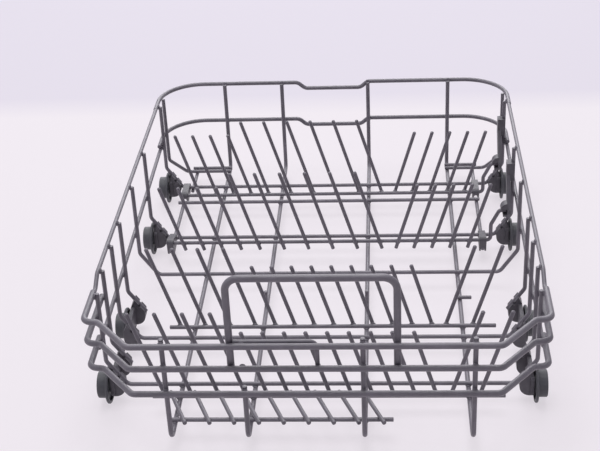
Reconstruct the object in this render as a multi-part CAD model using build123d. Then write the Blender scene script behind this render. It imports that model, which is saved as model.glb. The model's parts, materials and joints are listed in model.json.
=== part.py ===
"""Lower dishwasher basket: coated wire weldment on eight wheels with two folding tine rows.

Millimetres, +Z up, X across the width, -Y towards the handle.
Origin: middle of the basket on the plane that the wheel flanges stand on.
"""
import os
from math import atan2, degrees, hypot, radians, sin, tan

from build123d import *

# wire diameters
floor_wire_d = 4.2
rim_d = 4.4
side_rail_d = 3.8
cross_wire_d = 3.8
tine_d = 3.6
front_wire_d = 5.3
handle_d = 6.0

# gaps and fits
weld_gap = 0.03
butt_gap = 0.3
running_fit = 0.06
rear_pivot_lift = 0.5
front_pivot_lift = 5.1
tine_tip_chamfer = 0.8

# basket envelope
floor_length = 494.0
wall_x = 185.3
rim_height = 115.8
mid_rim_height = 71.2
bend_r = 8.0

# floor wires: height of the axis, inset of the outer two, places of the inner two
floor_wire_z = 13.0
left_floor_wire_inset = 64.5
right_floor_wire_inset = 57.8
left_inner_floor_wire_x = -56.8
right_inner_floor_wire_x = 39.1
leg_over_bar = 4.0

# rear rims
rim_corner_r = 46.0
rim_side_length = 63.0
dip_half_width = 31.0
dip_depth = 7.0
dip_run = 8.0
dip_bend_r = 9.0

# front wires: drops below the rim, chamfered corners and the stubs on the side walls
front_drop = 7.5
front_mid_drop = 21.3
front_low_drop = 46.0
front_jog_inset = 12.7
front_jog_lead = 2.0
front_chamfer_run = 29.0
front_chamfer_depth = 35.3
front_stub_lap = 6.9
front_mid_stub_lap = 33.9
front_bend_r = 7.0
rail_lead = 5.0

# cross frames: setbacks from the rear and front walls, and the sloping hip at their sides
rear_frame_setback = 55.8
fold_frame_setback = 168.8
middle_frame_setback = 72.7
front_frame_setback = 70.1
third_wheel_frame_setback = 140.9
hip_top_z = 41.5
hip_run = 16.8
hip_bend_r = 7.0
third_wheel_stay_gap = 41.7
front_wheel_stay_gap = 29.1
stay_lap = 3.0
middle_rail_lap = 3.0

# rear corner wires, the ties behind their feet and the short side wires of the floor
corner_wire_setback = 36.0
corner_foot_setback = 17.4
corner_lap = 2.5
tie_gap = 8.0
tie_over = 4.5
side_wire_lap = 2.5
side_wire_clear = 0.6

# folding rows: pivots, rest wire and tines
tine_lean = 16.7
rear_pivot_setback = 20.8
front_pivot_setback = 19.5
rest_wire_setback = 15.6
rest_wire_left_over = 0.5
rest_wire_right_gap = 4.8
fold_tall = 87.5
fold_short = 72.3
rear_fold_foot = 0.7
front_fold_foot = 6.1
fold_left_inset = 20.0
fold_left_pitch = 19.2
fold_left_count = 4
fold_tall_x = -71.0
fold_tall_pitch = 24.9
fold_tall_count = 6
fold_right_x = 67.8
rear_fold_right_pitch = 18.9
front_fold_right_pitch = 18.1
fold_right_count = 5

# fixed rows: setback from their frames, bar ends and tines
fixed_rear_gap = 17.5
fixed_front_gap = 17.5
fixed_bar_left_inset = 41.3
fixed_bar_right_inset = 27.8
fixed_tall = 84.0
fixed_short = 64.5
fixed_foot = 1.0
fixed_left_inset = 9.7
fixed_left_pitch = 23.4
fixed_left_count = 4
fixed_short_x = -45.3
fixed_short_pitch = 18.1
fixed_short_count = 9
fixed_right_inset = 20.9
fixed_right_pitch = 24.5
fixed_right_count = 2

# folding row bars and their cranks
fold_bar_inset = 0.5
crank_inset = 5.2
crank_rise = 18.0
crank_reach = 8.0
crank_top_rise = 16.0
crank_end = 6.9
crank_foot_r = 4.0
crank_bend_r = 6.0
crank_end_r = 3.5

# front floor grid
grid_bar_setback = 20.0
grid_bar_over = 2.8
grid_wire_inset = 13.1
grid_wire_pitch = 20.7
grid_wire_count = 9
grid_wire_slant = 22.5
grid_end_over = 7.4
grid_rear_lap = 1.2
grid_front_lap = 9.5

# handle, strut and locating pegs
handle_half_width = 66.4
handle_rise = 59.5
handle_lap = 3.0
handle_bend_r = 11.0
strut_x = 2.9
strut_lift = 1.5
strut_lap = 3.0
strut_bend_r = 6.0
peg_offset = -8.4
peg_height = 16.0
stub_offset = 0.9
stub_length = 14.0
stub_lap = 3.5

# wheels and their brackets
flange_d = 34.0
tread_d = 24.0
tread_width = 8.2
flange_width = 2.4
wheel_inset = 1.6
tread_wall = 2.4
wheel_web = 3.0
wheel_edge = 0.6
flange_rim = 2.6
flange_recess = 2.0
hub_d = 13.0
axle_d = 8.0
axle_head_d = 10.4
axle_head_length = 2.0
axle_point_d = 6.0
axle_end_play = 0.4
axle_head_inset = 0.3
bracket_gap = 0.6
bracket_plate = 3.6
bracket_lug_width = 10.0
bracket_below_axle = 9.5
bracket_above_axle = 10.5
bracket_wrap = 1.0
bracket_lug_start = 9.0
bracket_lug_length = 15.5
bracket_corner_r = 4.0
bracket_arm_r = 9.0
bracket_fork_gap = 3.0
bracket_fork_depth = 1.2
boss_d = 14.0

# pivot clips
clip_left_inset = 4.5
clip_right_inset = 12.8
clip_width = 7.0
clip_eye_d = 8.4
clip_leg_d = 4.6
clip_leg_drop = 3.7
clip_slot = 2.8

# latches for the upright tine rows
latch_lift = 25.5
latch_height = 19.0
latch_half = 5.0
latch_wrap = 1.2
latch_arm = 3.5
latch_clear = 0.8
latch_end_clear = 0.5
latch_jaw_r = 6.5
latch_jaw_half = 4.5
latch_stop = 2.4
latch_lip = 2.5
latch_lip_reach = 4.0

# derived: wall planes; the rear and front walls are placed so that the outline is centred
rear_y = floor_length / 2 + (front_wire_d - rim_d) / 2
front_y = rear_y - floor_length
rim_y = rear_y + (floor_wire_d + rim_d) / 2 + weld_gap
rim_x = wall_x + (cross_wire_d + rim_d) / 2 + weld_gap
rail_x = wall_x + (cross_wire_d + side_rail_d) / 2 + weld_gap
stub_x = wall_x + (cross_wire_d + front_wire_d) / 2 + weld_gap
front_bar_y = front_y - (floor_wire_d + front_wire_d) / 2 - weld_gap
rim_end_y = rear_y - rim_side_length

# derived: heights
cross_z = floor_wire_z + (floor_wire_d + cross_wire_d) / 2 + weld_gap
side_wire_z = cross_z - cross_wire_d - weld_gap
rear_pivot_z = cross_z + rear_pivot_lift
front_pivot_z = cross_z + front_pivot_lift
front_top_z = rim_height - front_drop
front_mid_z = front_top_z - front_mid_drop
front_low_z = front_top_z - front_low_drop
axle_z = flange_d / 2

# derived: frames, rows and stays along the basket
rear_frame_y = rear_y - rear_frame_setback
fold_frame_y = rear_y - fold_frame_setback
middle_frame_y = fold_frame_y - middle_frame_setback
third_wheel_frame_y = front_y + third_wheel_frame_setback
third_wheel_stay_y = third_wheel_frame_y + third_wheel_stay_gap
front_frame_y = front_y + front_frame_setback
front_wheel_stay_y = front_frame_y + front_wheel_stay_gap
rear_fold_y = rear_frame_y - rear_pivot_setback
front_fold_y = fold_frame_y - front_pivot_setback
rest_wire_y = rear_fold_y - rest_wire_setback
fixed_rear_y = third_wheel_frame_y + fixed_rear_gap
fixed_front_y = front_frame_y - fixed_front_gap
grid_bar_y = front_y + grid_bar_setback
front_jog_y = front_bar_y + front_chamfer_depth
front_corner_y = front_jog_y + front_jog_lead
front_stub_end_y = front_frame_y + front_stub_lap
front_mid_stub_end_y = front_frame_y + front_mid_stub_lap

# derived: places across the basket
floor_wire_x = (
    -wall_x + left_floor_wire_inset,
    left_inner_floor_wire_x,
    right_inner_floor_wire_x,
    wall_x - right_floor_wire_inset,
)
hip_foot_x = wall_x - hip_run
hip_drop = hip_top_z - cross_z
hip_length = hypot(hip_run, hip_drop)
hip_angle = degrees(atan2(hip_drop, hip_run))
front_jog_x = stub_x - front_jog_inset
front_bar_half = front_jog_x - front_chamfer_run
fold_bar_left = -hip_foot_x + fold_bar_inset
crank_x = hip_foot_x - crank_inset
clip_xs = (-hip_foot_x + clip_left_inset, hip_foot_x - clip_right_inset)
fixed_bar_left = -wall_x + fixed_bar_left_inset
fixed_bar_right = wall_x - fixed_bar_right_inset
tine_offset = (cross_wire_d + tine_d) / 2 + weld_gap
wheel_inner_x = wall_x - wheel_inset
wheel_outer_x = wheel_inner_x + flange_width + tread_width
hub_end_x = wheel_outer_x - axle_head_inset - axle_head_length - axle_end_play
bracket_face_x = wheel_inner_x - bracket_gap


def wire(points, diameter, *radii):
    """Round wire through the points; the corners take the radii in turn, and the last one repeats."""
    pts = [Vector(*p) for p in points]
    corner_radii = list(radii) + [radii[-1] if radii else bend_r] * len(pts)
    pieces = []
    start = pts[0]
    for before, corner, after, radius in zip(pts, pts[1:], pts[2:], corner_radii):
        to_before = (before - corner).normalized()
        to_after = (after - corner).normalized()
        half_angle = radians(to_before.get_angle(to_after) / 2)
        setback = radius / tan(half_angle)
        bisector = (to_before + to_after).normalized()
        arc_start = corner + to_before * setback
        arc_mid = corner + bisector * (radius / sin(half_angle) - radius)
        arc_end = corner + to_after * setback
        pieces.append(Line(start, arc_start))
        pieces.append(ThreePointArc(arc_start, arc_mid, arc_end))
        start = arc_end
    pieces.append(Line(start, pts[-1]))
    path = Wire([piece.edge() for piece in pieces])
    profile = Plane(origin=path @ 0, z_dir=path % 0) * Circle(diameter / 2)
    return sweep(profile, path=path)


def mirrored(solid):
    """The same piece on the other side of the basket."""
    return mirror(solid, about=Plane.YZ)


def pair(solid):
    """A left piece and its mirror image on the right."""
    return [solid, mirrored(solid)]


def save(name, *solids):
    """Write one named piece, or a group of like pieces, as a STEP file."""
    shape = solids[0] if len(solids) == 1 else Compound(children=list(solids))
    shape.label = name
    export_step(shape, f"parts/{name}.step")


def pattern(first, pitch, count):
    """Evenly spaced places along the width."""
    return [first + i * pitch for i in range(count)]


def floor_wire(x, front_top):
    """Long wire: down the rear wall, along the floor and up the front."""
    return wire(
        [
            (x, rear_y, rim_height),
            (x, rear_y, floor_wire_z),
            (x, front_y, floor_wire_z),
            (x, front_y, front_top),
        ],
        floor_wire_d,
    )


def rear_rim(height):
    """Rear rim: short sides, wide corners and a dip in the middle of the rear wall."""
    right = [
        (dip_half_width, rim_y, height - dip_depth),
        (dip_half_width + dip_run, rim_y, height),
        (rim_x, rim_y, height),
        (rim_x, rim_end_y, height),
    ]
    left = [(-x, y, z) for x, y, z in reversed(right)]
    dip_radii = [dip_bend_r] * 4
    return wire(left + right, rim_d, rim_corner_r, *dip_radii, rim_corner_r)


def front_wire(height, stub_end):
    """Thick front wire: side stub, corner, jog, chamfer and straight front bar."""
    right = [
        (front_bar_half, front_bar_y, height),
        (front_jog_x, front_jog_y, height),
        (stub_x, front_corner_y, height),
        (stub_x, stub_end, height),
    ]
    left = [(-x, y, z) for x, y, z in reversed(right)]
    return wire(left + right, front_wire_d, front_bend_r)


def cross_frame(y, top, diameter=cross_wire_d):
    """Wire from one side rail down the wall, in at the hip, across the floor and up again."""
    right = [(hip_foot_x, y, cross_z), (wall_x, y, hip_top_z), (wall_x, y, top)]
    left = [(-x, v, z) for x, v, z in reversed(right)]
    return wire(left + right, diameter, hip_bend_r)


def cross_bar(left, right, y):
    """Straight wire across the floor wires."""
    return wire([(left, y, cross_z), (right, y, cross_z)], cross_wire_d)


def side_wire(x, rear, front):
    """Short wire along the floor, under the cross wires."""
    return wire([(x, rear, side_wire_z), (x, front, side_wire_z)], cross_wire_d)


def stay(y):
    """Short side wire that ends in a wheel bracket."""
    share = 1 - stay_lap / hip_length
    return wire(
        [
            (-wall_x, y, rim_height),
            (-wall_x, y, hip_top_z),
            (-wall_x + hip_run * share, y, hip_top_z - hip_drop * share),
        ],
        cross_wire_d,
        hip_bend_r,
    )


def corner_wire(side, floor_x):
    """Rear corner wire from the rim's bend down to the outer floor wire; side is -1 for left, 1 for right."""
    inset = rim_corner_r - (cross_wire_d + rim_d) / 2 - weld_gap
    wire_y = rear_y - corner_wire_setback
    foot_y = rear_y - corner_foot_setback
    reach = rim_y - rim_corner_r - wire_y
    top_x = side * (rim_x - rim_corner_r + (inset**2 - reach**2) ** 0.5)
    return wire(
        [
            (top_x, wire_y, rim_height),
            (top_x, wire_y, hip_top_z),
            (side * hip_foot_x, foot_y, cross_z),
            (floor_x - side * corner_lap, foot_y, cross_z),
        ],
        cross_wire_d,
        hip_bend_r,
    )


def tine(x, y, foot_z, height, side):
    """Leaning tine with a chamfered tip; side is -1 for a left lean and 1 for a right lean."""
    lean = side * tan(radians(tine_lean))
    solid = wire([(x, y, foot_z), (x + lean * height, y, foot_z + height)], tine_d)
    tip = solid.edges().sort_by(Axis.Z)[-1]
    return chamfer(tip, tine_tip_chamfer)


def fold_tines(y, foot_z, right_pitch):
    """Tines of one folding row: short, tall, then short ones leaning the other way."""
    left_xs = pattern(fold_bar_left + fold_left_inset, fold_left_pitch, fold_left_count)
    tall_xs = pattern(fold_tall_x, fold_tall_pitch, fold_tall_count)
    right_xs = pattern(fold_right_x, right_pitch, fold_right_count)
    left = [tine(x, y, foot_z, fold_short, -1) for x in left_xs]
    tall = [tine(x, y, foot_z, fold_tall, -1) for x in tall_xs]
    right = [tine(x, y, foot_z, fold_short, 1) for x in right_xs]
    return left + tall + right


def fixed_tines(y):
    """Tines of one fixed row: tall, short, then tall ones leaning the other way."""
    foot_z = cross_z - fixed_foot
    left_xs = pattern(fixed_bar_left + fixed_left_inset, fixed_left_pitch, fixed_left_count)
    short_xs = pattern(fixed_short_x, fixed_short_pitch, fixed_short_count)
    right_xs = pattern(fixed_bar_right - fixed_right_inset, -fixed_right_pitch, fixed_right_count)
    left = [tine(x, y, foot_z, fixed_tall, -1) for x in left_xs]
    low = [tine(x, y, foot_z, fixed_short, -1) for x in short_xs]
    right = [tine(x, y, foot_z, fixed_tall, 1) for x in right_xs]
    return left + low + right


def fold_bar(y, z):
    """Pivot wire of a folding row; the crank at its right end turns outwards under the latch."""
    top = z + crank_rise + crank_top_rise
    return wire(
        [
            (fold_bar_left, y, z),
            (crank_x, y, z),
            (crank_x, y, z + crank_rise),
            (crank_x + crank_reach, y, top),
            (crank_x + crank_reach + crank_end, y, top),
        ],
        cross_wire_d,
        crank_foot_r,
        crank_bend_r,
        crank_end_r,
    )


def wheel(y):
    """Left wheel: tread drum, guide flange with a recessed inner face, and an open outer face."""
    inner = -wheel_inner_x
    recess = inner - flange_recess
    step = inner - flange_width
    outer = -wheel_outer_x
    web = step - wheel_web
    bore = axle_d / 2 + running_fit
    flange_r = flange_d / 2
    section = [
        (inner, bore),
        (inner, hub_d / 2),
        (recess, hub_d / 2),
        (recess, flange_r - flange_rim),
        (inner, flange_r - flange_rim),
        (inner, flange_r - wheel_edge),
        (inner - wheel_edge, flange_r),
        (step + wheel_edge, flange_r),
        (step, flange_r - wheel_edge),
        (step, tread_d / 2),
        (outer + wheel_edge, tread_d / 2),
        (outer, tread_d / 2 - wheel_edge),
        (outer, tread_d / 2 - tread_wall),
        (web, tread_d / 2 - tread_wall),
        (web, hub_d / 2),
        (-hub_end_x, hub_d / 2),
        (-hub_end_x, bore),
    ]
    profile = make_face(Polyline(*[(x, 0, r) for x, r in section], close=True))
    return Pos(0, y, axle_z) * revolve(profile, Axis.X)


def bracket(axle_y, wire_ys):
    """Left wheel bracket: plate with an axle stub, and a rounded arm forked round each side wire."""
    bottom = axle_z - bracket_below_axle
    top = axle_z + bracket_above_axle
    lows = [y - bracket_lug_width / 2 for y in wire_ys] + [axle_y - boss_d / 2]
    highs = [y + bracket_lug_width / 2 for y in wire_ys] + [axle_y + boss_d / 2]
    plate = Pos(-bracket_face_x, min(lows), bottom) * Box(
        bracket_plate,
        max(highs) - min(lows),
        top - bottom,
        align=(Align.MIN, Align.MIN, Align.MIN),
    )
    plate = fillet(plate.edges().filter_by(Axis.X), bracket_corner_r)
    axle_end = hub_end_x + axle_end_play
    axle = Pos(-axle_end, axle_y, axle_z) * Rot(0, 90, 0) * Cylinder(
        axle_d / 2, axle_end - bracket_face_x, align=(Align.CENTER, Align.CENTER, Align.MIN)
    )
    head = Pos(-axle_end, axle_y, axle_z) * Rot(0, -90, 0) * Cone(
        axle_head_d / 2, axle_point_d / 2, axle_head_length, align=(Align.CENTER, Align.CENTER, Align.MIN)
    )
    body = plate + axle + head
    along = (hip_run / hip_length, -hip_drop / hip_length)
    normal = (hip_drop / hip_length, hip_run / hip_length)
    for y in wire_ys:
        tops = []
        for t in (bracket_lug_start, bracket_lug_start + bracket_lug_length):
            x = -wall_x + along[0] * t + normal[0] * bracket_wrap
            z = hip_top_z + along[1] * t + normal[1] * bracket_wrap
            tops.append((x, y, z))
        outline = Polyline(
            (-bracket_face_x, y, bottom),
            (-bracket_face_x, y, top),
            *tops,
            (tops[1][0], y, bottom),
            close=True,
        )
        lug = extrude(make_face(outline), bracket_lug_width / 2, dir=(0, 1, 0), both=True)
        heel = lug.edges().filter_by(Axis.Y).sort_by(Axis.Z)[:2].sort_by(Axis.X)[-1]
        lug = fillet(heel, bracket_arm_r)
        fork_t = bracket_lug_start + bracket_lug_length / 2
        fork_at = Pos(-wall_x + along[0] * fork_t, y, hip_top_z + along[1] * fork_t) * Rot(0, hip_angle, 0)
        fork = fork_at * Pos(0, 0, -bracket_fork_depth) * Box(
            bracket_fork_gap,
            bracket_lug_width,
            bracket_fork_depth + cross_wire_d,
            align=(Align.CENTER, Align.CENTER, Align.MIN),
        )
        groove = wire(
            [(-wall_x, y, rim_height), (-wall_x, y, hip_top_z), (-hip_foot_x, y, cross_z), (0, y, cross_z)],
            cross_wire_d + 2 * weld_gap,
            hip_bend_r,
        )
        body = body + lug - groove - fork
    return body


def across(radius, length):
    """Cylinder along the width of the basket."""
    return Rot(0, 90, 0) * Cylinder(radius, length)


def clip(x, frame_y, pivot_y, pivot_z):
    """Plastic clip: snaps on a cross frame, stands astride the side wire and carries a pivot wire."""
    leg_z = side_wire_z - clip_leg_drop + clip_leg_d / 2
    eyes = Sketch() + [
        Pos(frame_y, cross_z) * Circle(clip_eye_d / 2),
        Pos(pivot_y, pivot_z) * Circle(clip_eye_d / 2),
        Pos(pivot_y, leg_z) * Circle(clip_leg_d / 2),
    ]
    body = extrude(Plane.YZ.offset(x - clip_width / 2) * make_hull(eyes.edges()), clip_width)
    groove_d = cross_wire_d + 2 * weld_gap
    slot = Pos(x, frame_y, cross_z) * Box(
        clip_width, clip_slot, clip_eye_d, align=(Align.CENTER, Align.CENTER, Align.MAX)
    )
    length = 2 * clip_eye_d + frame_y - pivot_y
    astride = Pos(x, (frame_y + pivot_y) / 2, side_wire_z)
    channel = astride * Rot(90, 0, 0) * Cylinder(groove_d / 2, length)
    gap = astride * Box(groove_d, length, clip_eye_d, align=(Align.CENTER, Align.CENTER, Align.MAX))
    pivot = Pos(x, pivot_y, pivot_z) * across(cross_wire_d / 2 + running_fit, 2 * clip_width)
    return body - cross_frame(frame_y, hip_top_z + bend_r, groove_d) - slot - channel - gap - pivot


def latch(frame_y, pivot_y, pivot_z):
    """Right wall latch: clipped on a side wire, with an open socket round the end of the crank."""
    socket_z = pivot_z + crank_rise + crank_top_rise
    base_z = socket_z + latch_lift
    arm_x = crank_x + crank_reach + crank_end + latch_end_clear
    half_gap = cross_wire_d / 2 + latch_clear
    band = Pos(arm_x, frame_y, base_z) * Box(
        wall_x + latch_wrap - arm_x,
        2 * latch_half,
        latch_height,
        align=(Align.MIN, Align.CENTER, Align.MIN),
    )
    groove = Pos(wall_x, frame_y, base_z) * Cylinder(cross_wire_d / 2 + weld_gap, 2 * latch_height)
    ends = Sketch() + [
        Pos(frame_y, base_z + latch_half) * Circle(latch_half),
        Pos(pivot_y, socket_z) * Circle(latch_jaw_r),
    ]
    arm = extrude(Plane.YZ.offset(arm_x) * make_hull(ends.edges()), latch_arm)
    quarter = Cylinder(
        latch_jaw_r, 2 * latch_jaw_half, arc_size=90, align=(Align.MIN, Align.MIN, Align.CENTER)
    )
    jaw = Pos(arm_x, pivot_y, socket_z + half_gap) * Rot(90, 0, 0) * Rot(0, 0, 90) * quarter
    stop = Pos(arm_x, pivot_y + half_gap, socket_z + half_gap) * Box(
        latch_lip_reach, latch_stop, 2 * half_gap + latch_lip, align=(Align.MAX, Align.MIN, Align.MAX)
    )
    lip = Pos(arm_x, pivot_y + half_gap + latch_stop, socket_z - half_gap) * Box(
        latch_lip_reach,
        latch_jaw_half + half_gap + latch_stop,
        latch_lip,
        align=(Align.MAX, Align.MAX, Align.MAX),
    )
    return band + arm + jaw + stop + lip - groove


os.makedirs("parts", exist_ok=True)

# rims, side rails and front wires
save("top_rim", rear_rim(rim_height))
save("middle_rim", rear_rim(mid_rim_height))
rail_start = rim_end_y - butt_gap
rail_end = front_stub_end_y + butt_gap
top_rail = wire(
    [
        (-rail_x, rail_start, rim_height),
        (-rail_x, front_wheel_stay_y - cross_wire_d, rim_height),
        (-rail_x, rail_end + rail_lead, front_top_z),
        (-rail_x, rail_end, front_top_z),
    ],
    side_rail_d,
    bend_r,
)
save("top_side_rails", *pair(top_rail))
rail_rear_z = mid_rim_height - (rim_d + side_rail_d) / 2 - weld_gap
rail_front_z = front_low_z - (front_wire_d + side_rail_d) / 2 - weld_gap
rail_rear_y = rear_frame_y + middle_rail_lap
rail_front_y = front_frame_y - middle_rail_lap
rail_slope = (rail_rear_z - rail_front_z) / (rail_rear_y - front_stub_end_y)
rail_end_z = rail_rear_z - rail_slope * (rail_rear_y - rail_front_y)
middle_rail = wire([(-rail_x, rail_rear_y, rail_rear_z), (-rail_x, rail_front_y, rail_end_z)], side_rail_d)
save("middle_side_rails", *pair(middle_rail))
save("front_wire_top", front_wire(front_top_z, front_stub_end_y))
save("front_wire_middle", front_wire(front_mid_z, front_mid_stub_end_y))
save("front_wire_bottom", front_wire(front_low_z, front_stub_end_y))

# floor wires and cross frames
leg_tops = (front_top_z, front_low_z, front_top_z, front_top_z)
for number, (x, top) in enumerate(zip(floor_wire_x, leg_tops), start=1):
    save(f"floor_wire_{number}", floor_wire(x, top + leg_over_bar))
save("cross_frame_rear", cross_frame(rear_frame_y, rim_height))
save("cross_frame_fold", cross_frame(fold_frame_y, rim_height))
save("cross_frame_middle", cross_frame(middle_frame_y, rim_height))
save("cross_frame_third_wheel", cross_frame(third_wheel_frame_y, rim_height))
save("cross_frame_front", cross_frame(front_frame_y, front_top_z + front_wire_d / 2))
save("corner_wires", corner_wire(-1, floor_wire_x[0]), corner_wire(1, floor_wire_x[-1]))
save("bracket_stays", *pair(stay(third_wheel_stay_y)), *pair(stay(front_wheel_stay_y)))
rest_wire_left = -hip_foot_x - rest_wire_left_over
rest_wire_right = crank_x - rest_wire_right_gap
save("rest_wire", cross_bar(rest_wire_left, rest_wire_right, rest_wire_y))
rear_side_xs = (clip_xs[0] + (clip_width + cross_wire_d) / 2 + side_wire_clear, clip_xs[1])
tie_y = rear_y - corner_foot_setback + tie_gap
save(
    "rear_ties",
    cross_bar(rear_side_xs[0] - tie_over, floor_wire_x[0] + corner_lap, tie_y),
    cross_bar(floor_wire_x[-1] - corner_lap, rear_side_xs[1] + tie_over, tie_y),
)
rear_side_wires = [side_wire(x, tie_y + side_wire_lap, rear_frame_y - side_wire_lap) for x in rear_side_xs]
save("rear_side_wires", *rear_side_wires)
clip_side_wires = [side_wire(x, rest_wire_y + side_wire_lap, front_fold_y - side_wire_lap) for x in clip_xs]
save("clip_side_wires", *clip_side_wires)

# fixed tine rows
for name, y in (("rear", fixed_rear_y), ("front", fixed_front_y)):
    save(f"fixed_bar_{name}", cross_bar(fixed_bar_left, fixed_bar_right, y))
    save(f"fixed_tines_{name}", *fixed_tines(y + tine_offset))

# front floor grid
grid_bar_left = floor_wire_x[0] - grid_bar_over
grid_xs = pattern(grid_bar_left + grid_wire_inset, grid_wire_pitch, grid_wire_count)
grid_bar_right = grid_xs[-1] + grid_end_over
save("grid_bar", cross_bar(grid_bar_left, grid_bar_right, grid_bar_y))
grid_z = cross_z + (cross_wire_d + tine_d) / 2 + weld_gap
grid_rear_y = fixed_front_y + grid_rear_lap
grid_front_y = grid_bar_y - grid_front_lap
grid_shift = tan(radians(grid_wire_slant)) * (grid_rear_y - grid_front_y)
grid_wires = [
    wire([(x - grid_shift, grid_rear_y, grid_z), (x, grid_front_y, grid_z)], tine_d)
    for x in grid_xs
]
save("grid_wires", *grid_wires)

# handle, strut and locating pegs
handle_y = front_bar_y + (front_wire_d + handle_d) / 2 + weld_gap
handle_foot = front_mid_z - handle_lap
handle_height = front_top_z + handle_rise
save(
    "handle",
    wire(
        [
            (-handle_half_width, handle_y, handle_foot),
            (-handle_half_width, handle_y, handle_height),
            (handle_half_width, handle_y, handle_height),
            (handle_half_width, handle_y, handle_foot),
        ],
        handle_d,
        handle_bend_r,
    ),
)
strut_y = front_bar_y + (front_wire_d + cross_wire_d) / 2 + weld_gap
strut_start = -handle_half_width + handle_d / 2 + weld_gap
save(
    "handle_strut",
    wire(
        [
            (strut_start, strut_y, front_top_z + strut_lift),
            (strut_x, strut_y, front_top_z + strut_lift),
            (strut_x, strut_y, front_mid_z - strut_lap),
        ],
        cross_wire_d,
        strut_bend_r,
    ),
)
peg_bay_y = (middle_frame_y + fixed_rear_y) / 2
peg_y = peg_bay_y + peg_offset
peg_z = floor_wire_z + floor_wire_d / 2 + weld_gap
pegs = [wire([(x, peg_y, peg_z), (x, peg_y, peg_z + peg_height)], tine_d) for x in floor_wire_x[1:3]]
stub_z = floor_wire_z + (floor_wire_d + tine_d) / 2 + weld_gap
stub_start = floor_wire_x[-1] - stub_lap
stub_y = peg_bay_y + stub_offset
pegs.append(wire([(stub_start, stub_y, stub_z), (stub_start + stub_length, stub_y, stub_z)], tine_d))
save("locating_pegs", *pegs)

# wheels and brackets, from rear to front
third_axle_y = (third_wheel_stay_y + third_wheel_frame_y) / 2
axles = (
    (rear_frame_y, (rear_frame_y,)),
    (fold_frame_y, (fold_frame_y,)),
    (third_axle_y, (third_wheel_stay_y, third_wheel_frame_y)),
    (front_frame_y, (front_wheel_stay_y, front_frame_y)),
)
for number, (axle_y, wire_ys) in enumerate(axles, start=1):
    save(f"wheel_left_{number}", wheel(axle_y))
    save(f"wheel_right_{number}", mirrored(wheel(axle_y)))
    save(f"wheel_brackets_{number}", *pair(bracket(axle_y, wire_ys)))

# folding rows, their clips and latches
rows = (
    ("rear", rear_frame_y, rear_fold_y, rear_pivot_z),
    ("front", fold_frame_y, front_fold_y, front_pivot_z),
)
for name, frame_y, fold_y, pivot_z in rows:
    save(f"fold_bar_{name}", fold_bar(fold_y, pivot_z))
    save(f"pivot_clips_{name}", *[clip(x, frame_y, fold_y, pivot_z) for x in clip_xs])
    save(f"latch_{name}", latch(frame_y, fold_y, pivot_z))
rear_foot_z = rear_pivot_z - rear_fold_foot
front_foot_z = front_pivot_z - front_fold_foot
save("fold_tines_rear", *fold_tines(rear_fold_y + tine_offset, rear_foot_z, rear_fold_right_pitch))
save("fold_tines_front", *fold_tines(front_fold_y - tine_offset, front_foot_z, front_fold_right_pitch))
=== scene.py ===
"""Lower dishwasher basket: coated wire, moulded wheels and clips, on a pale table top."""

import json
import math

import bmesh
import bpy
from mathutils import Matrix, Vector

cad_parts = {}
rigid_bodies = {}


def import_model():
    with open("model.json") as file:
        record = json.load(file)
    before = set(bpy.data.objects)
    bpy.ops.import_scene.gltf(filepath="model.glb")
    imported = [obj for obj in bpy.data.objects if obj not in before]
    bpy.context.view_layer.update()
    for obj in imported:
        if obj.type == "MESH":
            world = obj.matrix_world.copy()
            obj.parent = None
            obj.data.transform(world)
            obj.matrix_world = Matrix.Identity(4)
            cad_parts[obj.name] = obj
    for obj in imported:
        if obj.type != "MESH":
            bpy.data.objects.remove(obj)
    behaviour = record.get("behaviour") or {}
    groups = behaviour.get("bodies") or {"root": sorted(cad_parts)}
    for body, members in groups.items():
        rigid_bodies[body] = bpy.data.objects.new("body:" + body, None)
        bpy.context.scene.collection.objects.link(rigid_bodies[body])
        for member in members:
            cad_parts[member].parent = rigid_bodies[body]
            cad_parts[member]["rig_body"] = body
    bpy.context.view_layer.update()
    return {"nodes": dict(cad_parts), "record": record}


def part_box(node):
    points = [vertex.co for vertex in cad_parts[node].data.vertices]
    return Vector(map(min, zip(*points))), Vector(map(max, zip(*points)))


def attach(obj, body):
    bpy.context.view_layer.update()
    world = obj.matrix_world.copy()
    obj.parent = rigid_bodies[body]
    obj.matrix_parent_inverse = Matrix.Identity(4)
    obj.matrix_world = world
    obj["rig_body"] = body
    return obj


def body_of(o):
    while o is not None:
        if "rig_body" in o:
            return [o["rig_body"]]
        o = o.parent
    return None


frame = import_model()
nodes = frame["nodes"]
subparts = frame["record"]["subparts"]

# axes by number
X, Y, Z = range(3)

# surface of each material slot: two tones in linear light, noise scales of the tone patches and the grain,
# depth of the grain in metres, range of roughness, and weight of the clear top coat
FINISHES = {
    "coated_wire": {
        "tones": ((0.148, 0.135, 0.161), (0.204, 0.187, 0.222)),
        "patches": 55.0,
        "grain": 900.0,
        "depth": 0.00025,
        "roughness": (0.40, 0.54),
        "coat": 0.3,
    },
    "wheel_plastic": {
        "tones": ((0.074, 0.075, 0.086), (0.106, 0.108, 0.121)),
        "patches": 90.0,
        "grain": 1600.0,
        "depth": 0.0002,
        "roughness": (0.42, 0.55),
        "coat": 0.0,
    },
    "clip_plastic": {
        "tones": ((0.094, 0.088, 0.103), (0.134, 0.126, 0.146)),
        "patches": 120.0,
        "grain": 1600.0,
        "depth": 0.0002,
        "roughness": (0.40, 0.52),
        "coat": 0.0,
    },
}
PATCH_NOISE = {"Detail": 4.0, "Roughness": 0.6}
PATCH_STOPS = (0.3, 0.7)
GRAIN_NOISE = {"Detail": 2.0, "Roughness": 0.5}
GRAIN_STRENGTH = 0.35
SURFACE_SPECULAR = 0.5
COAT_ROUGHNESS = 0.32

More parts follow.
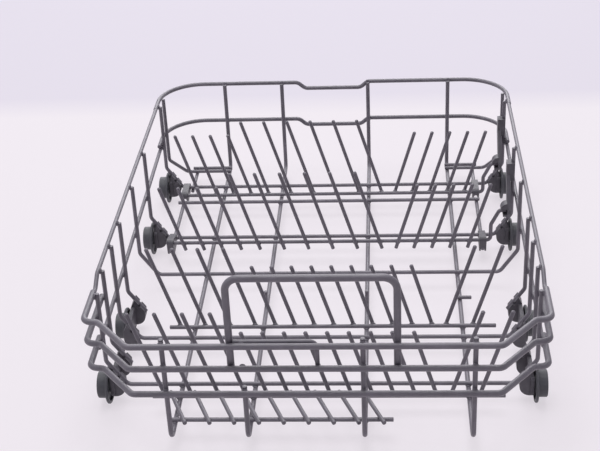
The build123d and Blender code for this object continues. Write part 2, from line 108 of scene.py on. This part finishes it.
# table top, the wall's tone behind its rear edge, and the share of its own tone that the camera sees
TABLE_SIZE = 12.0
TABLE_TONE = (0.885, 0.835, 0.89)
WALL_TONE = (0.785, 0.74, 0.835)
TABLE_EDGE_Y = 0.452
TABLE_EDGE_BLUR = 0.03
TABLE_ROUGHNESS = 0.75
TABLE_SPECULAR = 0.15
TABLE_OWN_LIGHT = 0.72

# soft studio light: an even surround, its strength as a light and as it is seen, and three square panels
WORLD_TONE = (0.93, 0.91, 1.0)
WORLD_LIGHT = 0.17
WORLD_SEEN = 0.8
PANELS = {
    "overhead_panel": {"place": (-0.3, 0.4, 3.4), "target": (0, 0.2, 0), "size": 2.6, "power": 80.0},
    "rear_panel": {"place": (0, 2.6, 1.6), "target": (0, 0, 0), "size": 2.0, "power": 38.0},
    "left_panel": {"place": (-2.2, -0.9, 1.5), "target": (0, 0, 0.05), "size": 1.2, "power": 3.0},
}

# the photograph's camera: place in metres, angles in radians, lens and sensor in millimetres
CAMERA_AT = (0.05993, -1.08823, 0.69187)
CAMERA_PITCH = 0.5146
CAMERA_YAW = -0.0777
CAMERA_ROLL = -0.0495
CAMERA_LENS = 78.0
CAMERA_SENSOR = 36.0

# radii of the wires that boxes alone don't give
RIM_RADIUS = 0.0022
RAIL_RADIUS = 0.0019
BAR_RADIUS = 0.0019

# half sizes of the coating beads at the welds, and how finely beads and domes are divided
BEAD_LONG = 0.0029
BEAD_SHORT = 0.0013
BEAD_DIVISIONS = 3

# points of a mesh that lie closer than this are one point
SAME_POINT = 1e-6

# flat wire ends: angle up to which faces are one, corners that the outline exceeds, share of its circle that
# it fills, and the dome's height in radii
END_LEVEL = 0.001
END_CORNERS = 8
END_FILL = 0.93
END_DOME = 0.2


def named(*starts):
    """CAD nodes whose names start with one of these words."""
    return [name for name in nodes if name.startswith(starts)]


FLOOR_WIRES = named("floor_wire")
FRONT_WIRES = named("front_wire")
CROSS_FRAMES = named("cross_frame")
CROSS_WIRES = named("cross_frame", "rest_wire", "fixed_bar", "grid_bar", "rear_ties")
RIMS = ("top_rim", "middle_rim")
COATED_WIRES = [entry["node"] for entry in subparts if entry["material_slot"] == "coated_wire"]


def material(name):
    """New node material and its shader."""
    mat = bpy.data.materials.new(name)
    mat.use_nodes = True
    return mat, mat.node_tree.nodes["Principled BSDF"]


def add_node(tree, kind, **values):
    """New node with its input sockets set, where an underscore stands for a space."""
    node = tree.nodes.new(kind)
    for key, value in values.items():
        node.inputs[key.replace("_", " ")].default_value = value
    return node


def ramp(tree, source, stops, tones):
    """Colour that goes from one tone to another as a value passes between two stops."""
    node = add_node(tree, "ShaderNodeValToRGB")
    for element, stop, tone in zip(node.color_ramp.elements, stops, tones):
        element.position = stop
        element.color = (*tone, 1)
    tree.links.new(source, node.inputs["Fac"])
    return node.outputs["Color"]


def spread(tree, source, low, high):
    """Value from 0 to 1 mapped to a range."""
    node = add_node(tree, "ShaderNodeMapRange", To_Min=low, To_Max=high)
    tree.links.new(source, node.inputs["Value"])
    return node.outputs["Result"]


def seen_directly(tree, otherwise, seen):
    """One value for camera rays, reflections and refractions, and another one for all other rays."""
    rays = add_node(tree, "ShaderNodeLightPath")
    flag = rays.outputs["Is Camera Ray"]
    for kind in ("Is Glossy Ray", "Is Transmission Ray"):
        either = add_node(tree, "ShaderNodeMath")
        either.operation = "MAXIMUM"
        tree.links.new(flag, either.inputs[0])
        tree.links.new(rays.outputs[kind], either.inputs[1])
        flag = either.outputs["Value"]
    return spread(tree, flag, otherwise, seen)


def coating(name, tones, patches, grain, depth, roughness, coat):
    """Coated or moulded surface: soft tone patches, fine grain in the relief and uneven gloss."""
    mat, shader = material(name)
    tree = mat.node_tree
    link = tree.links.new
    place = add_node(tree, "ShaderNodeTexCoord").outputs["Object"]
    patch = add_node(tree, "ShaderNodeTexNoise", Scale=patches, **PATCH_NOISE)
    fine = add_node(tree, "ShaderNodeTexNoise", Scale=grain, **GRAIN_NOISE)
    for noise in (patch, fine):
        link(place, noise.inputs["Vector"])
    link(ramp(tree, patch.outputs["Fac"], PATCH_STOPS, tones), shader.inputs["Base Color"])
    link(spread(tree, patch.outputs["Fac"], *roughness), shader.inputs["Roughness"])
    bump = add_node(tree, "ShaderNodeBump", Strength=GRAIN_STRENGTH, Distance=depth)
    link(fine.outputs["Fac"], bump.inputs["Height"])
    link(bump.outputs["Normal"], shader.inputs["Normal"])
    shader.inputs["Specular IOR Level"].default_value = SURFACE_SPECULAR
    shader.inputs["Coat Weight"].default_value = coat
    shader.inputs["Coat Roughness"].default_value = COAT_ROUGHNESS
    return mat


def table_material():
    """Pale table top that turns to the wall's tone behind its rear edge."""
    mat, shader = material("table_top")
    tree = mat.node_tree
    link = tree.links.new
    split = add_node(tree, "ShaderNodeSeparateXYZ")
    link(add_node(tree, "ShaderNodeNewGeometry").outputs["Position"], split.inputs["Vector"])
    edge = add_node(
        tree,
        "ShaderNodeMapRange",
        From_Min=TABLE_EDGE_Y - TABLE_EDGE_BLUR,
        From_Max=TABLE_EDGE_Y + TABLE_EDGE_BLUR,
    )
    link(split.outputs["Y"], edge.inputs["Value"])
    tone = ramp(tree, edge.outputs["Result"], (0.0, 1.0), (TABLE_TONE, WALL_TONE))
    link(tone, shader.inputs["Base Color"])
    shader.inputs["Roughness"].default_value = TABLE_ROUGHNESS
    shader.inputs["Specular IOR Level"].default_value = TABLE_SPECULAR

    # to the camera and in reflections it shows most of its own tone, so that the shadow stays faint
    own = add_node(tree, "ShaderNodeEmission", Strength=1.0)
    link(tone, own.inputs["Color"])
    mixed = add_node(tree, "ShaderNodeMixShader")
    link(seen_directly(tree, 0.0, TABLE_OWN_LIGHT), mixed.inputs["Fac"])
    link(shader.outputs["BSDF"], mixed.inputs[1])
    link(own.outputs["Emission"], mixed.inputs[2])
    link(mixed.outputs["Shader"], tree.nodes["Material Output"].inputs["Surface"])
    return mat


def studio_world():
    """Pale surround that is seen brighter than the light it gives."""
    world = bpy.data.worlds.new("studio")
    world.use_nodes = True
    tree = world.node_tree
    surround = tree.nodes["Background"]
    surround.inputs["Color"].default_value = (*WORLD_TONE, 1)
    tree.links.new(seen_directly(tree, WORLD_LIGHT, WORLD_SEEN), surround.inputs["Strength"])
    return world


def joined_mesh(obj):
    """Copy of a node's mesh in which neighbouring faces share their points."""
    mesh = bmesh.new()
    mesh.from_mesh(obj.data)
    bmesh.ops.remove_doubles(mesh, verts=mesh.verts, dist=SAME_POINT)
    return mesh


def solids(node):
    """Points of each separate solid in a node."""
    obj = nodes[node]
    mesh = joined_mesh(obj)
    found = set()
    groups = []
    for first in mesh.verts:
        if first in found:
            continue
        found.add(first)
        stack = [first]
        points = []
        while stack:
            vert = stack.pop()
            points.append(obj.matrix_world @ vert.co)
            for edge in vert.link_edges:
                other = edge.other_vert(vert)
                if other not in found:
                    found.add(other)
                    stack.append(other)
        groups.append(points)
    mesh.free()
    return groups


def boxes(node):
    """Lowest and highest corner of each separate solid in a node."""
    return [(Vector(map(min, *points)), Vector(map(max, *points))) for points in solids(node)]


def middle(node, axis):
    """Middle of a node's box along one axis."""
    low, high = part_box(node)
    return (low[axis] + high[axis]) / 2


def mean(points):
    """Middle of a set of points."""
    return sum(points, Vector()) / len(points)


def bead(x, y, z, thin):
    """Placing of a weld bead on a point, thin along one axis."""
    half = [BEAD_SHORT if axis == thin else BEAD_LONG for axis in (X, Y, Z)]
    return Matrix.Translation((x, y, z)) @ Matrix.Diagonal((*half, 1))


def floor_welds():
    """Beads where the cross wires lie on the floor wires, and where these meet the rims and front wires."""
    crossings = [box for node in CROSS_WIRES for box in boxes(node)]
    places = []
    for wire in FLOOR_WIRES:
        wire_low, wire_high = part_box(wire)
        x = middle(wire, X)
        for low, high in crossings:
            if low.x < x < high.x:
                places.append(bead(x, (low.y + high.y) / 2, low.z, Z))
        for rim in RIMS:
            places.append(bead(x, wire_high.y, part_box(rim)[1].z - RIM_RADIUS, Y))
        for front in FRONT_WIRES:
            z = middle(front, Z)
            if z < wire_high.z:
                places.append(bead(x, wire_low.y, z, Y))
    return places


def wall_welds():
    """Beads where the side rails and the front wires pass the upright wires of the side walls."""
    top_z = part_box("top_side_rails")[1].z - RAIL_RADIUS
    low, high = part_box("middle_side_rails")
    slope = (high.z - low.z - 2 * RAIL_RADIUS) / (high.y - low.y)
    wall_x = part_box("cross_frame_middle")[1].x
    front_y = middle("cross_frame_front", Y)
    front_zs = [middle(front, Z) for front in FRONT_WIRES]
    frame_ys = [middle(node, Y) for node in CROSS_FRAMES]
    stay_ys = [(start.y + end.y) / 2 for start, end in boxes("bracket_stays") if start.x < 0]
    places = []
    for y in frame_ys + stay_ys:
        middle_z = high.z - RAIL_RADIUS - slope * (high.y - y)
        heights = (middle_z, top_z) if y > front_y else front_zs
        for z in heights:
            places += [bead(x, y, z, X) for x in (-wall_x, wall_x)]
    return places


def tine_welds(tines, bar):
    """Beads where the tines of a row are welded to their bar."""
    y = (middle(tines, Y) + middle(bar, Y)) / 2
    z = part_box(bar)[0].z + BAR_RADIUS
    places = []
    for points in solids(tines):
        heights = [point.z for point in points]
        half_way = (min(heights) + max(heights)) / 2
        foot = mean([point for point in points if point.z < half_way])
        tip = mean([point for point in points if point.z >= half_way])
        x = foot.x + (tip.x - foot.x) * (z - foot.z) / (tip.z - foot.z)
        places.append(bead(x, y, z, Y))
    return places


def wire_ends(node):
    """Placing of a low dome on each flat round end of a node's wires."""
    obj = nodes[node]
    mesh = joined_mesh(obj)
    bmesh.ops.dissolve_limit(mesh, angle_limit=END_LEVEL, edges=mesh.edges)
    places = []
    for face in [face for face in mesh.faces if len(face.verts) > END_CORNERS]:
        centre = face.calc_center_median()
        radius = max((vert.co - centre).length for vert in face.verts)
        if face.calc_area() > END_FILL * math.pi * radius**2:
            turn = face.normal.to_track_quat("Z", "Y").to_matrix().to_4x4()
            dome = Matrix.Diagonal((radius, radius, END_DOME * radius, 1))
            places.append(obj.matrix_world @ Matrix.Translation(centre) @ turn @ dome)
    mesh.free()
    return places


def add_object(name, data):
    """New object in the scene."""
    obj = bpy.data.objects.new(name, data)
    bpy.context.scene.collection.objects.link(obj)
    return obj


def weld_beads(name, body, places, mat):
    """One mesh of coating beads and end domes that rides on a body."""
    ball = bmesh.new()
    bmesh.ops.create_icosphere(ball, subdivisions=BEAD_DIVISIONS, radius=1.0)
    ball.verts.index_update()
    points = [place @ vert.co for place in places for vert in ball.verts]
    starts = range(0, len(points), len(ball.verts))
    faces = [[start + vert.index for vert in face.verts] for start in starts for face in ball.faces]
    ball.free()
    data = bpy.data.meshes.new(name)
    data.from_pydata(points, [], faces)
    data.shade_smooth()
    data.materials.append(mat)
    beads = add_object(name, data)
    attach(beads, body)


def panel(name, place, target, size, power):
    """Square soft panel lamp aimed at a point."""
    data = bpy.data.lights.new(name, "AREA")
    data.shape = "SQUARE"
    data.size = size
    data.energy = power
    lamp = add_object(name, data)
    lamp.location = place
    lamp.rotation_euler = (Vector(target) - Vector(place)).to_track_quat("-Z", "Y").to_euler()


def photo_camera():
    """Camera at the photograph's place and angle."""
    forward = Vector((
        math.sin(CAMERA_YAW) * math.cos(CAMERA_PITCH),
        math.cos(CAMERA_YAW) * math.cos(CAMERA_PITCH),
        -math.sin(CAMERA_PITCH),
    ))
    level = Vector((math.cos(CAMERA_YAW), -math.sin(CAMERA_YAW), 0))
    rise = level.cross(forward)
    right = math.cos(CAMERA_ROLL) * level + math.sin(CAMERA_ROLL) * rise
    up = -math.sin(CAMERA_ROLL) * level + math.cos(CAMERA_ROLL) * rise
    data = bpy.data.cameras.new("photo_camera")
    data.lens = CAMERA_LENS
    data.sensor_width = CAMERA_SENSOR
    camera = add_object("photo_camera", data)
    turn = Matrix((right, up, -forward)).transposed().to_4x4()
    camera.matrix_world = Matrix.Translation(CAMERA_AT) @ turn
    return camera


# surfaces of the CAD nodes
materials = {slot: coating(slot, **finish) for slot, finish in FINISHES.items()}
for entry in subparts:
    for slot in nodes[entry["node"]].material_slots:
        slot.material = materials[entry["material_slot"]]

# weld beads and end domes: one piece for the basket and one for each folding row
welds = {"basket": floor_welds() + wall_welds()}
for row in ("rear", "front"):
    welds["basket"] += tine_welds(f"fixed_tines_{row}", f"fixed_bar_{row}")
    welds[f"{row}_row"] = tine_welds(f"fold_tines_{row}", f"fold_bar_{row}")
for body, places in welds.items():
    wires = [n for n in COATED_WIRES if body in body_of(nodes[n])]
    ends = [end for wire in wires for end in wire_ends(wire)]
    weld_beads(f"weld_beads_{body}", body, places + ends, materials["coated_wire"])

# table top
bpy.ops.mesh.primitive_plane_add(size=TABLE_SIZE, location=(0, 0, 0))
floor = bpy.context.active_object
floor.name = "table_top"
floor.data.materials.append(table_material())

# light and camera
bpy.context.scene.world = studio_world()
for name, values in PANELS.items():
    panel(name, **values)
bpy.context.scene.camera = photo_camera()

bpy.context.scene.view_settings.view_transform = "Standard"
